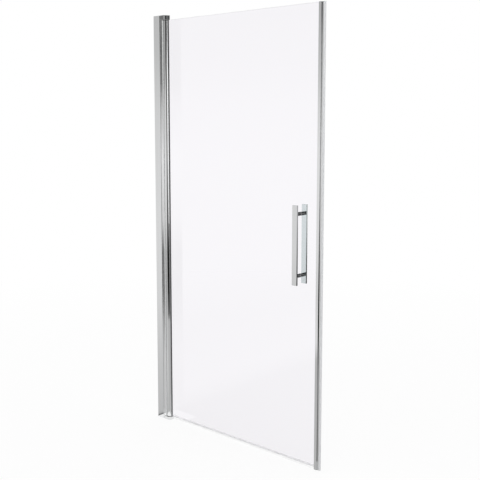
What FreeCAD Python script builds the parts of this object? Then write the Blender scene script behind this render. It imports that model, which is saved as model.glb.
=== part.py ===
import FreeCAD, Part
import math
import os

# Pivot shower door: a wall channel, a post that slides in it, a round barrel that turns between two
# pivot brackets on the post, and a glass leaf with a closing profile and a bar handle on each face.
#
# Millimetres. The drawing measures x from the wall, y from the middle of the glass (+y into the
# shower) and z from the tray. at() puts a drawing point in the part's frame, whose origin is on the
# tray under the middle of the door's width.

# ---------------------------------------------------------------- driving dimensions

DOOR_HEIGHT = 1900.0      # tray to the top of the wall channel and the top bracket
DOOR_WIDTH = 958.0        # wall to the outer edge of the magnetic seal

FIT = 0.02                # radial gap of pieces pressed together
SLIP = 0.05               # radial gap of pieces that turn, and of loose fits in one body
SLIDE_GAP = 0.3           # gap per side between the post and the wall channel
ADJUSTMENT = 15.0         # how far the post slides out of the channel

# wall channel, a U open away from the wall
CHANNEL_DEPTH = 40.0      # wall to the front edge of the flanges
CHANNEL_HALF = 16.6       # half of its outer thickness
FLANGE = 1.3
WEB = 1.8
WALL_HOLE_R = 2.75        # for 5 mm wall screws
WALL_HOLES_OUTER = (110.0, 1790.0)
WALL_HOLES_INNER = (670.0, 1230.0)
LOCK_HEIGHTS = (180.0, 950.0, 1720.0)
LOCK_X = 20.0             # locking screws with the post pushed home
LOCK_SLOT_HALF = 2.6

# post, a box profile
POST_X0 = 14.0
POST_X1 = 47.0
POST_HALF = CHANNEL_HALF - FLANGE - SLIDE_GAP
POST_WALL = 1.6
PORT_X = 30.0             # screw ports, one each side of the middle
PORT_Y = 7.5
PORT_R = 3.8
GROOVE_DEPTH = 5.2        # groove for the post seal
GROOVE_HALF = 3.4
GROOVE_MOUTH_HALF = 1.6

# cover strips on the post's end, one on each side of the barrel, with a soft wiper along each
COVER_END = 55.0
COVER_WALL = 1.4
COVER_LEG = 8.0           # middle of the glass to the end of the strip's leg on the post
COVER_HOOK = 12.4         # middle of the glass to the tip of the hook that holds the wiper
WIPER_END = 59.0          # clear of the barrel's jaws with the leaf wide open

# pivot axis, brackets and pins
AXIS_X = 66.0
NOSE_R = 17.6
NOSE_GAP = 0.4            # joint line between the post and the bracket's nose
TOP_NOSE = 21.0           # height of the top bracket's nose
BOTTOM_NOSE = 15.0
PLATE = 8.0               # bracket plate on the post's end
PIN_R = 3.0
PIN_IN_BARREL = 36.0
WASHER = 1.0              # thrust washer under the barrel
TOP_GAP = 1.0             # play over the barrel

# barrel
BARREL_R = 14.5
BARREL_WALL = 1.8
BARREL_BORE_R = 6.0
CORE_R = 7.7              # wall round the bore
JAW_END = 15.6            # axis to the jaws' tips
JAW_HALF = 6.5
POCKET_HALF = 5.0         # half of the pocket for glass and gaskets
POCKET_START = 8.6        # axis to the pocket's floor
PLUG_FLANGE = 1.5
PLUG_LENGTH = 42.0
PLUG_CUT = 7.8            # axis to the flange's flat, beside the glass
BUSH_R = 4.5
BUSH_LENGTH = 30.0

# glass
GLASS_HALF = 3.0
GLASS_START = AXIS_X + POCKET_START + 0.8
GLASS_END = 938.0
GLASS_BOTTOM = 18.0
GLASS_TOP = DOOR_HEIGHT - TOP_NOSE - TOP_GAP
ARRIS = 0.6               # ground corner along every glass edge

# closing profile and its seal
CLOSING_START = 930.0
CLOSING_STEP = 943.5      # where the wide clamp steps down to the seal holder
CLOSING_END = 950.5
CLAMP_HALF = 8.0
HOLDER_HALF = 3.8
CLOSING_BOTTOM = 10.0
END_CAP = 1.5
GASKET_WALL = 1.0
SLOT_HALF = 2.6           # T-slot for the magnetic seal's foot
SLOT_MOUTH_HALF = 1.5
SEAL_HALF = 3.9           # half thickness of the magnetic seal's head
MAGNET_HALF = 2.4

# drip seal under the glass
DRIP_START = AXIS_X + NOSE_R + 1.2                # clear of the bottom bracket as the leaf turns
DRIP_END = CLOSING_START - 1.0
DRIP_BOTTOM = 8.0
DRIP_CLIP_TOP = 27.0

# handle, the same on both faces of the glass
HANDLE_X = 843.0
HANDLE_Z = 928.0
BAR_WIDTH = 25.0
BAR_THICK = 7.0
BAR_LENGTH = 325.0
STANDOFF_SPACING = 252.0
STANDOFF_R = 8.0
STANDOFF_LENGTH = 25.0
HANDLE_WASHER = 1.0
SPIGOT_R = 5.0
SPIGOT_LENGTH = 4.5
STUD_R = 3.0
STUD_HALF = 17.0
GLASS_HOLE_R = 6.0

BARREL_BOTTOM = BOTTOM_NOSE + WASHER
BARREL_TOP = GLASS_TOP
POST_BOTTOM = PLATE
POST_TOP = DOOR_HEIGHT - PLATE
HANDLE_FOOT = GLASS_HALF + HANDLE_WASHER          # glass middle to the stand-off's foot
BAR_BACK = HANDLE_FOOT + STANDOFF_LENGTH          # glass middle to the bar's back face
STANDOFF_HEIGHTS = (HANDLE_Z - STANDOFF_SPACING / 2, HANDLE_Z + STANDOFF_SPACING / 2)

UP = FreeCAD.Vector(0, 0, 1)
ALONG_Y = FreeCAD.Vector(0, 1, 0)


# ---------------------------------------------------------------- drawing helpers

def at(x, y, z):
    """A drawing point in the part's frame."""
    return FreeCAD.Vector(x - DOOR_WIDTH / 2, y, z)


def box(x0, x1, y0, y1, z0, z1):
    return Part.makeBox(x1 - x0, y1 - y0, z1 - z0, at(x0, y0, z0))


def upright(x, y, radius, z0, z1):
    """A round bar along z."""
    return Part.makeCylinder(radius, z1 - z0, at(x, y, z0), UP)


def crosswise(x, z, radius, y0, y1):
    """A round bar along y, through the door's thickness."""
    return Part.makeCylinder(radius, y1 - y0, at(x, y0, z), ALONG_Y)


def tube(x, y, outer, inner, z0, z1):
    return upright(x, y, outer, z0, z1).cut(upright(x, y, inner, z0 - 1, z1 + 1))


def cross_tube(x, z, outer, inner, y0, y1):
    return crosswise(x, z, outer, y0, y1).cut(crosswise(x, z, inner, y0 - 1, y1 + 1))


def group(solids):
    return Part.makeCompound(solids)


def rounded_face(corners):
    """A flat face through corners (point, radius), with an arc of that radius at each corner."""
    arcs = []
    for index, (point, radius) in enumerate(corners):
        before = (corners[index - 1][0] - point).normalize()
        after = (corners[(index + 1) % len(corners)][0] - point).normalize()
        half = before.getAngle(after) / 2
        back = radius / math.tan(half)
        middle = point + (before + after).normalize() * (radius / math.sin(half) - radius) if radius else point
        arcs.append((point + before * back, middle, point + after * back, radius))
    edges = []
    for index, (start, middle, end, radius) in enumerate(arcs):
        last_end = arcs[index - 1][2]
        if last_end.distanceToPoint(start) > 1e-6:
            edges.append(Part.LineSegment(last_end, start).toShape())
        if radius:
            edges.append(Part.Arc(start, middle, end).toShape())
    return Part.Face(Part.Wire(edges))


def extrusion(corners, z0, z1):
    """A profile with corners (x, y, radius), drawn along z from z0 to z1."""
    face = rounded_face([(at(x, y, z0), radius) for x, y, radius in corners])
    return face.extrude(FreeCAD.Vector(0, 0, z1 - z0))


def mirrored(half_corners):
    """Corners of a profile from those of its -y half, listed with x rising."""
    other = [(x, -y, radius) for x, y, radius in reversed(half_corners)]
    return half_corners + other


def countersunk_screw(x, y, face_z, head_side, length):
    """A countersunk screw whose head is flush with face_z; head_side is 1 for a head on top, -1 below."""
    head = 2.6
    shank_r = 2.4
    head_r = 4.6
    axis = FreeCAD.Vector(0, 0, -head_side)
    cone = Part.makeCone(head_r, shank_r, head, at(x, y, face_z), axis)
    shank = Part.makeCylinder(shank_r, length, at(x, y, face_z), axis)
    screw = cone.fuse(shank)
    low = min(face_z, face_z - head_side * 1.2)
    for width, depth in ((4.4, 0.9), (0.9, 4.4)):
        screw = screw.cut(box(x - width / 2, x + width / 2, y - depth / 2, y + depth / 2, low, low + 1.2))
    return screw.removeSplitter()


def countersink(x, y, face_z, head_side, length):
    """The hole for countersunk_screw, a little larger all round."""
    axis = FreeCAD.Vector(0, 0, -head_side)
    cone = Part.makeCone(4.65, 2.45, 2.6, at(x, y, face_z), axis)
    return cone.fuse(Part.makeCylinder(2.45, length, at(x, y, face_z), axis))


# ---------------------------------------------------------------- wall channel

def wall_channel():
    inner = CHANNEL_HALF - FLANGE
    half = [
        (0, -CHANNEL_HALF, 0.8),
        (CHANNEL_DEPTH, -CHANNEL_HALF, 0.5),
        (CHANNEL_DEPTH, -inner, 0.3),
        (WEB, -inner, 0.5),
    ]
    body = extrusion(mirrored(half), 0, DOOR_HEIGHT)
    for z in WALL_HOLES_OUTER + WALL_HOLES_INNER:
        body = body.cut(Part.makeCylinder(WALL_HOLE_R, WEB + 2, at(-1, 0, z), FreeCAD.Vector(1, 0, 0)))
    for z in LOCK_HEIGHTS:
        body = body.cut(lock_slot(z))
    return body


def lock_slot(z):
    """A slot through the +y flange, as long as the post's travel."""
    low, high = CHANNEL_HALF - FLANGE - 1, CHANNEL_HALF + 1
    slot = box(LOCK_X, LOCK_X + ADJUSTMENT, low, high, z - LOCK_SLOT_HALF, z + LOCK_SLOT_HALF)
    for x in (LOCK_X, LOCK_X + ADJUSTMENT):
        slot = slot.fuse(crosswise(x, z, LOCK_SLOT_HALF, low, high))
    return slot


def channel_top_cap():
    """A plate in the channel's open top, behind the post, with a leg down each flange."""
    half = CHANNEL_HALF - FLANGE - SLIP
    x0, x1 = WEB + SLIP, POST_X0 - 0.4
    cap = extrusion(mirrored([(x0, -half, 0.6), (x1, -half, 0.3)]), DOOR_HEIGHT - 2.5, DOOR_HEIGHT)
    for y0, y1 in ((-half, 1.5 - half), (half - 1.5, half)):
        cap = cap.fuse(box(x0 + 2, x1 - 2, y0, y1, DOOR_HEIGHT - 14, DOOR_HEIGHT - 2))
    return cap.removeSplitter()


# ---------------------------------------------------------------- post

def post_profile():
    """A box profile with a web, two screw ports on the web and a groove for the seal."""
    outer = extrusion(mirrored([(POST_X0, -POST_HALF, 0.8), (POST_X1, -POST_HALF, 0.3)]), POST_BOTTOM, POST_TOP)
    inside = POST_HALF - POST_WALL
    hollow = box(POST_X0 + POST_WALL, POST_X1 - POST_WALL, -inside, inside, POST_BOTTOM - 1, POST_TOP + 1)
    web = box(PORT_X - POST_WALL / 2, PORT_X + POST_WALL / 2, -POST_HALF, POST_HALF, 0, DOOR_HEIGHT)
    groove_floor = POST_X1 - GROOVE_DEPTH
    housing_half = GROOVE_HALF + 1.3
    housing = box(groove_floor - 1.4, POST_X1, -housing_half, housing_half, 0, DOOR_HEIGHT)
    hollow = hollow.cut(web).cut(housing)
    for y in (-PORT_Y, PORT_Y):
        hollow = hollow.cut(upright(PORT_X, y, PORT_R, 0, DOOR_HEIGHT))
    body = outer.cut(hollow)
    for y in (-PORT_Y, PORT_Y):
        body = body.cut(upright(PORT_X, y, 2.4 + SLIP, 0, DOOR_HEIGHT))
    pocket = box(groove_floor, POST_X1 - POST_WALL, -GROOVE_HALF, GROOVE_HALF, 0, DOOR_HEIGHT)
    mouth = box(groove_floor, POST_X1 + 1, -GROOVE_MOUTH_HALF, GROOVE_MOUTH_HALF, 0, DOOR_HEIGHT)
    body = body.cut(pocket).cut(mouth)
    for z in LOCK_HEIGHTS:
        body = body.cut(crosswise(LOCK_X, z, 2.0 + SLIP, POST_HALF - POST_WALL - 1, POST_HALF + 1))
    return body


def locking_screws():
    """Pan-head screws from the shower side, through the slots into the post's wall."""
    face = CHANNEL_HALF + 0.1
    screws = []
    for z in LOCK_HEIGHTS:
        head = crosswise(LOCK_X, z, 4.2, face, face + 2.6)
        head = head.makeFillet(1.2, [outer_circle(head, face + 2.6)])
        screws.append(head.fuse(crosswise(LOCK_X, z, 2.0, POST_HALF - 9, face)))
    return group(screws)


def outer_circle(bar, y):
    """The rim of a crosswise bar's end face at this y."""
    rims = [edge for edge in bar.Edges if abs(edge.BoundBox.YMin - y) + abs(edge.BoundBox.YMax - y) < 1e-4]
    return max(rims, key=lambda edge: edge.Length)


def locking_screw_covers():
    """Round snap-on covers over the screw heads."""
    face = CHANNEL_HALF + 0.1
    covers = []
    for z in LOCK_HEIGHTS:
        cover = crosswise(LOCK_X, z, 6.2, face, face + 4.2)
        cover = cover.makeFillet(1.6, [outer_circle(cover, face + 4.2)])
        covers.append(cover.cut(crosswise(LOCK_X, z, 4.2 + SLIP, face - 1, face + 2.7)))
    return group(covers)


def post_seal():
    """A foot in the post's groove, a neck through its mouth and a bulb towards the barrel."""
    foot_half = GROOVE_HALF - 0.1
    foot_x0 = POST_X1 - GROOVE_DEPTH + 0.1
    foot_x1 = POST_X1 - POST_WALL - 0.1
    neck_half = GROOVE_MOUTH_HALF - 0.1
    bulb_x1 = AXIS_X - BARREL_R - 0.4
    z0, z1 = BARREL_BOTTOM, BARREL_TOP
    foot = extrusion(mirrored([(foot_x0, -foot_half, 0.3), (foot_x1, -foot_half, 0.3)]), z0, z1)
    neck = box(foot_x1 - 0.5, POST_X1 + 1, -neck_half, neck_half, z0, z1)
    bulb = extrusion(mirrored([(POST_X1, -2.6, 0.5), (bulb_x1, -2.6, 1.6)]), z0, z1)
    bulb = bulb.cut(extrusion(mirrored([(POST_X1 + 0.8, -1.8, 0.5), (bulb_x1 - 0.8, -1.8, 1.0)]), 0, DOOR_HEIGHT))
    return foot.fuse(neck).fuse(bulb).removeSplitter()


def on_side(side, corners):
    """Corners of a section given for the +y side, on either side of the glass."""
    return corners if side > 0 else [(x, -y, radius) for x, y, radius in reversed(corners)]


def between_noses(gap):
    return BOTTOM_NOSE + gap, DOOR_HEIGHT - TOP_NOSE - gap


def cover_strip(side):
    """A leg on the post's end, a plate in line with the post's face and a hook on the plate's edge."""
    x0, face = POST_X1 + FIT, POST_HALF
    back = face - COVER_WALL
    corners = [
        (x0, COVER_LEG, 0.3), (x0 + COVER_WALL, COVER_LEG, 0.3), (x0 + COVER_WALL, back, 0.4),
        (COVER_END - COVER_WALL, back, 0), (COVER_END - COVER_WALL, COVER_HOOK, 0.2),
        (COVER_END, COVER_HOOK, 0.2), (COVER_END, face, 0.4), (x0, face, 0.2),
    ]
    return extrusion(on_side(side, corners), *between_noses(0.5))


def wiper_seal(side):
    """A soft strip that grips the cover strip's hook and reaches towards the barrel."""
    hook_x0, hook_x1 = COVER_END - COVER_WALL - 0.1, COVER_END + SLIP
    back, front = POST_HALF - COVER_WALL - 0.1, POST_HALF - 0.1
    corners = [
        (hook_x1, front, 0.3), (hook_x1, COVER_HOOK - 0.1, 0), (hook_x0, COVER_HOOK - 0.1, 0),
        (hook_x0, back, 0.1), (hook_x0 - 1.3, back, 0.2), (hook_x0 - 1.3, COVER_HOOK - 1.3, 0.3),
        (COVER_END + 1.0, COVER_HOOK - 1.3, 0.5), (COVER_END + 1.6, COVER_HOOK + 0.4, 0.4),
        (WIPER_END, back + 0.1, 0.5), (WIPER_END, front, 0.7),
    ]
    return extrusion(on_side(side, corners), *between_noses(0.8))


# ---------------------------------------------------------------- pivot brackets

def nose(z0, z1):
    """A block with a straight left side and a half-round end about the pivot axis."""
    left = POST_X1 + NOSE_GAP
    tip = at(AXIS_X + NOSE_R, 0, z0)
    corners = [at(left, -NOSE_R, z0), at(AXIS_X, -NOSE_R, z0), at(AXIS_X, NOSE_R, z0), at(left, NOSE_R, z0)]
    wire = Part.Wire([
        Part.LineSegment(corners[0], corners[1]).toShape(),
        Part.Arc(corners[1], tip, corners[2]).toShape(),
        Part.LineSegment(corners[2], corners[3]).toShape(),
        Part.LineSegment(corners[3], corners[0]).toShape(),
    ])
    block = Part.Face(wire).extrude(FreeCAD.Vector(0, 0, z1 - z0))
    block = block.makeFillet(1.4, [edge for edge in block.Edges if flat_at(edge, z0) or flat_at(edge, z1)])
    return block


def flat_at(edge, z):
    return abs(edge.BoundBox.ZMin - z) < 1e-4 and abs(edge.BoundBox.ZMax - z) < 1e-4


def bracket(nose_z, plate_z, screw_face, head_side, pin_z):
    """A nose beside the post, and a plate on the post's end for the two screws."""
    half = POST_HALF - 0.1
    plate = extrusion(mirrored([(POST_X0 + 0.3, -half, 0.6), (AXIS_X, -half, 0.6)]), plate_z[0], plate_z[1])
    body = nose(nose_z[0], nose_z[1]).fuse(plate).removeSplitter()
    for y in (-PORT_Y, PORT_Y):
        body = body.cut(countersink(PORT_X, y, screw_face, head_side, PLATE + 1))
    return body.cut(upright(AXIS_X, 0, PIN_R + FIT, pin_z[0], pin_z[1]))


def top_bracket():
    nose_z = (DOOR_HEIGHT - TOP_NOSE, DOOR_HEIGHT)
    return bracket(nose_z, (POST_TOP, DOOR_HEIGHT), DOOR_HEIGHT, 1, (nose_z[0] - 1, POST_TOP + 2))


def bottom_bracket():
    return bracket((0, BOTTOM_NOSE), (0, PLATE), 0, -1, (3, BOTTOM_NOSE + 1))


def bracket_screws(face_z, head_side):
    return group([countersunk_screw(PORT_X, y, face_z, head_side, 32) for y in (-PORT_Y, PORT_Y)])


def pivot_pin(z0, z1):
    pin = upright(AXIS_X, 0, PIN_R, z0, z1)
    return pin.makeChamfer(0.6, [edge for edge in pin.Edges if flat_at(edge, z0) or flat_at(edge, z1)])


def thrust_washer():
    return tube(AXIS_X, 0, 11.0, PIN_R + SLIP, BOTTOM_NOSE, BARREL_BOTTOM)


# ---------------------------------------------------------------- barrel

def barrel_profile():
    """A round hollow extrusion: a bore for the plugs, two chambers, and a pocket with jaws for the glass."""
    z0, z1 = BARREL_BOTTOM + PLUG_FLANGE, BARREL_TOP - PLUG_FLANGE
    jaws = extrusion(mirrored([(AXIS_X, -JAW_HALF, 0), (AXIS_X + JAW_END, -JAW_HALF, 0.7)]), z0, z1)
    body = upright(AXIS_X, 0, BARREL_R, z0, z1).fuse(jaws)
    chambers = upright(AXIS_X, 0, BARREL_R - BARREL_WALL, z0 - 1, z1 + 1)
    chambers = chambers.cut(upright(AXIS_X, 0, CORE_R, 0, DOOR_HEIGHT))
    chambers = chambers.cut(box(AXIS_X, AXIS_X + JAW_END, -JAW_HALF, JAW_HALF, 0, DOOR_HEIGHT))
    chambers = chambers.cut(box(AXIS_X - BARREL_R, AXIS_X, -0.9, 0.9, 0, DOOR_HEIGHT))
    body = body.cut(chambers)
    body = body.cut(upright(AXIS_X, 0, BARREL_BORE_R, 0, DOOR_HEIGHT))
    pocket = box(AXIS_X + POCKET_START, AXIS_X + JAW_END + 1, -POCKET_HALF, POCKET_HALF, 0, DOOR_HEIGHT)
    return body.cut(pocket).removeSplitter()


def barrel_plug(flange_z, body_z):
    """A flange over the barrel's end, cut off beside the glass, and a spigot in the barrel's bore."""
    flange = upright(AXIS_X, 0, BARREL_R, flange_z[0], flange_z[1])
    flange = flange.cut(box(AXIS_X + PLUG_CUT, AXIS_X + BARREL_R + 1, -BARREL_R, BARREL_R, 0, DOOR_HEIGHT))
    spigot = upright(AXIS_X, 0, BARREL_BORE_R - FIT, body_z[0], body_z[1])
    return flange.fuse(spigot).cut(upright(AXIS_X, 0, BUSH_R, 0, DOOR_HEIGHT)).removeSplitter()


def barrel_top_plug():
    return barrel_plug((BARREL_TOP - PLUG_FLANGE, BARREL_TOP), (BARREL_TOP - PLUG_LENGTH, BARREL_TOP))


def barrel_bottom_plug():
    return barrel_plug((BARREL_BOTTOM, BARREL_BOTTOM + PLUG_FLANGE), (BARREL_BOTTOM, BARREL_BOTTOM + PLUG_LENGTH))


def glazing_gasket(side):
    """A strip between one face of the glass and the barrel's jaw, with a lip over the jaw's tip."""
    x0, x1 = AXIS_X + POCKET_START + 0.3, AXIS_X + JAW_END
    low, high = GLASS_HALF, POCKET_HALF - 0.02
    corners = [
        (x0, low, 0), (x1 + 1.4, low, 0.2), (x1 + 1.4, high + 0.4, 0.5), (x1 + 0.1, high + 0.4, 0.2),
        (x1 + 0.1, high, 0), (x0, high, 0),
    ]
    if side < 0:
        corners = [(x, -y, radius) for x, y, radius in reversed(corners)]
    return extrusion(corners, GLASS_BOTTOM, GLASS_TOP - PLUG_FLANGE)


# ---------------------------------------------------------------- glass and its seals

def glass_panel():
    pane = box(GLASS_START, GLASS_END, -GLASS_HALF, GLASS_HALF, GLASS_BOTTOM, GLASS_TOP)
    pane = pane.makeChamfer(ARRIS, pane.Edges)
    for z in STANDOFF_HEIGHTS:
        pane = pane.cut(crosswise(HANDLE_X, z, GLASS_HOLE_R, -GLASS_HALF - 1, GLASS_HALF + 1))
    return pane


def closing_outline():
    """The closing profile's outside: a wide clamp, a step and a narrow seal holder."""
    return mirrored([
        (CLOSING_START, -CLAMP_HALF, 0.9),
        (CLOSING_STEP, -CLAMP_HALF, 0.9),
        (CLOSING_STEP, -HOLDER_HALF, 0.4),
        (CLOSING_END, -HOLDER_HALF, 0.6),
    ])


def closing_profile():
    """An extrusion with a pocket for the glass edge and a T-slot for the magnetic seal."""
    z0, z1 = CLOSING_BOTTOM + END_CAP, GLASS_TOP - END_CAP
    body = extrusion(closing_outline(), z0, z1)
    pocket_half = GLASS_HALF + GASKET_WALL
    pocket_end = GLASS_END + GASKET_WALL + 0.2
    body = body.cut(box(CLOSING_START - 1, pocket_end, -pocket_half, pocket_half, 0, DOOR_HEIGHT))
    for y0, y1 in ((-CLAMP_HALF + 1.2, -pocket_half - 1.2), (pocket_half + 1.2, CLAMP_HALF - 1.2)):
        body = body.cut(box(CLOSING_START + 1.6, CLOSING_STEP - 1.4, y0, y1, 0, DOOR_HEIGHT))
    slot_x0 = pocket_end + 1.4
    body = body.cut(box(slot_x0, CLOSING_END - 1.3, -SLOT_HALF, SLOT_HALF, 0, DOOR_HEIGHT))
    return body.cut(box(slot_x0, CLOSING_END + 1, -SLOT_MOUTH_HALF, SLOT_MOUTH_HALF, 0, DOOR_HEIGHT))


def closing_cap(z0, z1):
    cap = extrusion(closing_outline(), z0, z1)
    if z1 > GLASS_BOTTOM:
        reach = GLASS_END + 0.2
        cap = cap.cut(box(CLOSING_START - 1, reach, -GLASS_HALF - 0.1, GLASS_HALF + 0.1, z0 - 1, z1 + 1))
    return cap


def closing_gasket():
    """A U-shaped strip between the glass edge and the closing profile."""
    outer = GLASS_HALF + GASKET_WALL - 0.02
    end = GLASS_END + GASKET_WALL
    body = box(CLOSING_START - 0.6, end, -outer, outer, GLASS_BOTTOM, GLASS_TOP - END_CAP)
    return body.cut(box(CLOSING_START - 1, GLASS_END, -GLASS_HALF, GLASS_HALF, 0, DOOR_HEIGHT))


def magnetic_seal():
    """A foot in the closing profile's slot, a neck, and a hollow head that holds the magnet."""
    z0, z1 = CLOSING_BOTTOM, GLASS_TOP
    foot_x0 = GLASS_END + GASKET_WALL + 0.2 + 1.4 + 0.3
    foot_half, neck_half = SLOT_HALF - 0.2, SLOT_MOUTH_HALF - 0.2
    low, high = CLOSING_BOTTOM + END_CAP, GLASS_TOP - END_CAP
    foot = box(foot_x0, CLOSING_END - 1.4, -foot_half, foot_half, low, high)
    neck = box(CLOSING_END - 1.6, CLOSING_END + 0.5, -neck_half, neck_half, low, high)
    half = [(CLOSING_END + 0.1, -SEAL_HALF, 0.5), (DOOR_WIDTH, -SEAL_HALF, 2.2)]
    head = extrusion(mirrored(half), z0, z1)
    body = head.fuse(foot).fuse(neck).removeSplitter()
    return body.cut(magnet_room(0.05))


def magnet_room(gap):
    x0, x1 = CLOSING_END + 1.6, DOOR_WIDTH - 0.9
    half = MAGNET_HALF + gap
    return box(x0 - gap, x1 + gap, -half, half, CLOSING_BOTTOM + 2 - gap, GLASS_TOP - 2 + gap)


def magnet_strip():
    return magnet_room(0)


def drip_seal():
    """A clip round the glass's bottom edge, with a fin down to the tray and one slanting inward."""
    outer = GLASS_HALF + 1.1
    base = GLASS_BOTTOM - 1.6
    corners = [
        (-outer, DRIP_CLIP_TOP, 0.4), (-GLASS_HALF, DRIP_CLIP_TOP, 0.3), (-GLASS_HALF, GLASS_BOTTOM, 0),
        (GLASS_HALF, GLASS_BOTTOM, 0), (GLASS_HALF, DRIP_CLIP_TOP, 0.3), (outer, DRIP_CLIP_TOP, 0.4),
        (outer, base + 0.6, 0.4), (9.6, 11.4, 0.3), (9.0, 10.7, 0.3), (outer - 1.6, base, 0.8),
        (0.9, base, 0.8), (0.4, DRIP_BOTTOM, 0.3), (-0.4, DRIP_BOTTOM, 0.3), (-0.9, base, 0.8),
        (-outer, base, 0.8),
    ]
    face = rounded_face([(at(DRIP_START, y, z), radius) for y, z, radius in corners])
    return face.extrude(FreeCAD.Vector(DRIP_END - DRIP_START, 0, 0))


# ---------------------------------------------------------------- handle

def across(side, near, far):
    """A stretch of y from near to far off the glass's middle, on one side of it."""
    return (near, far) if side > 0 else (-far, -near)


def handle_bar(side):
    """A flat bar with eased edges, and two blind holes in its back for the stand-offs."""
    y0, y1 = across(side, BAR_BACK, BAR_BACK + BAR_THICK)
    half_width, half_length = BAR_WIDTH / 2, BAR_LENGTH / 2
    bar = box(HANDLE_X - half_width, HANDLE_X + half_width, y0, y1, HANDLE_Z - half_length, HANDLE_Z + half_length)
    bar = bar.makeFillet(0.8, bar.Edges)
    hole_y = across(side, BAR_BACK - 1, BAR_BACK + SPIGOT_LENGTH + 0.2)
    for z in STANDOFF_HEIGHTS:
        bar = bar.cut(crosswise(HANDLE_X, z, SPIGOT_R + FIT, hole_y[0], hole_y[1]))
    return bar


def standoffs(side, has_grub_screw):
    """Two round stand-offs, each with a spigot in the bar and a bore for the stud."""
    pieces = []
    foot = across(side, HANDLE_FOOT, BAR_BACK)
    spigot = across(side, BAR_BACK - 1, BAR_BACK + SPIGOT_LENGTH)
    bore = across(side, HANDLE_FOOT - 1, STUD_HALF + 0.5)
    for z in STANDOFF_HEIGHTS:
        body = crosswise(HANDLE_X, z, STANDOFF_R, foot[0], foot[1])
        rim_y = -HANDLE_FOOT if side < 0 else HANDLE_FOOT
        body = body.makeFillet(0.5, [outer_circle(body, rim_y)])
        body = body.fuse(crosswise(HANDLE_X, z, SPIGOT_R, spigot[0], spigot[1]))
        body = body.cut(crosswise(HANDLE_X, z, STUD_R + SLIP, bore[0], bore[1]))
        if has_grub_screw:
            body = body.cut(Part.makeCylinder(2.0 + SLIP, STANDOFF_R + 1, at(HANDLE_X, GRUB_Y, z), -UP))
        pieces.append(body.removeSplitter())
    return group(pieces)


GRUB_Y = 12.0             # grub screws, off the glass's middle


def grub_screws():
    """Headless screws with a hex socket, up through the inner stand-offs against the studs."""
    screws = []
    for z in STANDOFF_HEIGHTS:
        low = z - STANDOFF_R + 0.4
        screw = Part.makeCylinder(2.0, z - STUD_R - SLIP - low, at(HANDLE_X, GRUB_Y, low), UP)
        corners = [hex_corner(index, low) for index in range(6)]
        socket = Part.Face(Part.makePolygon(corners + corners[:1])).extrude(FreeCAD.Vector(0, 0, 2.0))
        screws.append(screw.cut(socket))
    return group(screws)


def hex_corner(index, z):
    angle = index * math.pi / 3
    return at(HANDLE_X + 1.15 * math.cos(angle), GRUB_Y + 1.15 * math.sin(angle), z)


def handle_washers():
    washers = []
    for side in (-1, 1):
        y0, y1 = across(side, GLASS_HALF, HANDLE_FOOT)
        for z in STANDOFF_HEIGHTS:
            washers.append(cross_tube(HANDLE_X, z, STANDOFF_R - 0.3, STUD_R + SLIP, y0, y1))
    return group(washers)


def glass_hole_sleeves():
    reach = GLASS_HALF - 0.05
    return group([
        cross_tube(HANDLE_X, z, GLASS_HOLE_R - SLIP, STUD_R + SLIP, -reach, reach) for z in STANDOFF_HEIGHTS
    ])


def handle_studs():
    return group([crosswise(HANDLE_X, z, STUD_R, -STUD_HALF, STUD_HALF) for z in STANDOFF_HEIGHTS])


# ---------------------------------------------------------------- all pieces

def pieces():
    top_pin_low = BARREL_TOP - PIN_IN_BARREL
    bottom_pin_high = BARREL_BOTTOM + PIN_IN_BARREL
    bush_in_top = (BARREL_TOP - BUSH_LENGTH, BARREL_TOP)
    bush_in_bottom = (BARREL_BOTTOM, BARREL_BOTTOM + BUSH_LENGTH)
    bush_wall = (BUSH_R - FIT, PIN_R + SLIP)
    return {
        "wall_channel": wall_channel(),
        "channel_top_cap": channel_top_cap(),
        "post_profile": post_profile(),
        "top_bracket": top_bracket(),
        "bottom_bracket": bottom_bracket(),
        "top_bracket_screws": bracket_screws(DOOR_HEIGHT, 1),
        "bottom_bracket_screws": bracket_screws(0, -1),
        "locking_screws": locking_screws(),
        "locking_screw_covers": locking_screw_covers(),
        "top_pivot_pin": pivot_pin(top_pin_low, POST_TOP + 2),
        "bottom_pivot_pin": pivot_pin(3, bottom_pin_high),
        "thrust_washer": thrust_washer(),
        "post_seal": post_seal(),
        "outer_cover_strip": cover_strip(-1),
        "inner_cover_strip": cover_strip(1),
        "outer_wiper_seal": wiper_seal(-1),
        "inner_wiper_seal": wiper_seal(1),
        "barrel_profile": barrel_profile(),
        "barrel_top_plug": barrel_top_plug(),
        "barrel_bottom_plug": barrel_bottom_plug(),
        "top_bush": tube(AXIS_X, 0, *bush_wall, *bush_in_top),
        "bottom_bush": tube(AXIS_X, 0, *bush_wall, *bush_in_bottom),
        "glazing_gasket_front": glazing_gasket(-1),
        "glazing_gasket_back": glazing_gasket(1),
        "glass_panel": glass_panel(),
        "closing_gasket": closing_gasket(),
        "closing_profile": closing_profile(),
        "closing_top_cap": closing_cap(GLASS_TOP - END_CAP, GLASS_TOP),
        "closing_bottom_cap": closing_cap(CLOSING_BOTTOM, CLOSING_BOTTOM + END_CAP),
        "magnetic_seal": magnetic_seal(),
        "magnet_strip": magnet_strip(),
        "drip_seal": drip_seal(),
        "outer_handle_bar": handle_bar(-1),
        "inner_handle_bar": handle_bar(1),
        "outer_standoffs": standoffs(-1, False),
        "inner_standoffs": standoffs(1, True),
        "handle_washers": handle_washers(),
        "glass_hole_sleeves": glass_hole_sleeves(),
        "handle_studs": handle_studs(),
        "grub_screws": grub_screws(),
    }


os.makedirs("parts", exist_ok=True)
for name, shape in pieces().items():
    shape.exportStep(f"parts/{name}.step")
    print(f"{name:24s} solids {len(shape.Solids)} valid {shape.isValid()} volume {shape.Volume / 1000:.2f} cm3")
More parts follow.
